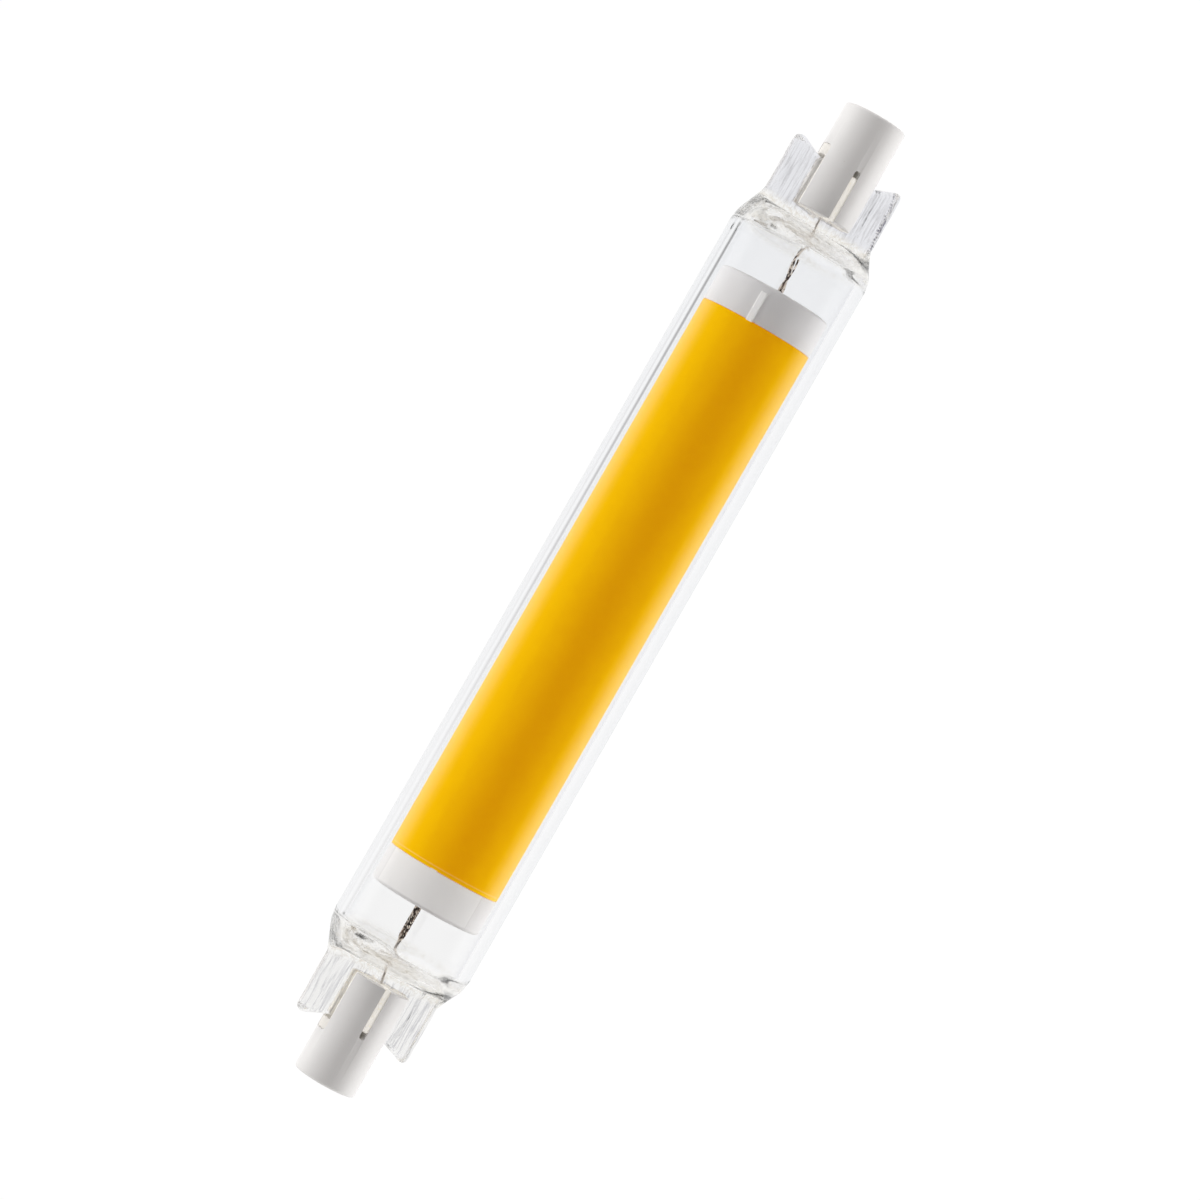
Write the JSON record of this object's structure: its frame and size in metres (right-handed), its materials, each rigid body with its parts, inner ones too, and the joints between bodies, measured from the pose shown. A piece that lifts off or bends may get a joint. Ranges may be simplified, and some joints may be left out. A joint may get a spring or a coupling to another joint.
{
  "type": "linear led bulb",
  "caption": "Double-ended linear led bulb: a clear glass tube pressed flat at each end, slotted ceramic caps with recessed contacts, and a phosphor-coated ceramic tube inside.",
  "frame": {"origin": "centre of the bulb's box, on its axis and midway between the cap ends", "axes": "+X along the bulb towards end a, with the pressed glass in the plane Y = 0 and +Z towards one edge of it"},
  "size_m": [0.118, 0.0164, 0.0164],
  "materials": {
    "clear_glass": "gloss",
    "white_ceramic": "satin",
    "carrier_ceramic": "satin",
    "phosphor": "satin",
    "cement": "matte",
    "white_silicone": "satin",
    "printed_white": "gloss",
    "printed_copper": "satin",
    "lead_metal": "satin",
    "contact_metal": "polished",
    "board_white": "satin",
    "black_resin": "matte",
    "resistor_green": "gloss",
    "absorber_blue": "satin",
    "chip_sapphire": "gloss"
  },
  "bodies": {
    "root": {"glass_envelope": "clear_glass", "ceramic_cap_a": "white_ceramic", "ceramic_cap_b": "white_ceramic", "contact_a": "contact_metal", "contact_b": "contact_metal", "cap_cement_a": "cement", "cap_cement_b": "cement", "seal_wire_a": "lead_metal", "seal_wire_b": "lead_metal", "twisted_lead_a": "lead_metal", "twisted_lead_b": "lead_metal", "carrier_tube": "carrier_ceramic", "phosphor_coat": "phosphor", "led_chips": "chip_sapphire", "row_tracks": "printed_copper", "feed_track": "printed_white", "return_pad": "printed_white", "end_plug_a": "white_silicone", "end_plug_b": "white_silicone", "link_pin_a": "lead_metal", "link_pin_b": "lead_metal", "driver_board": "board_white", "bridge_rectifier": "black_resin", "current_regulators": "black_resin", "sense_resistors": "black_resin", "fuse_resistor": "resistor_green", "surge_absorber": "absorber_blue"}
  },
  "joints": []
}
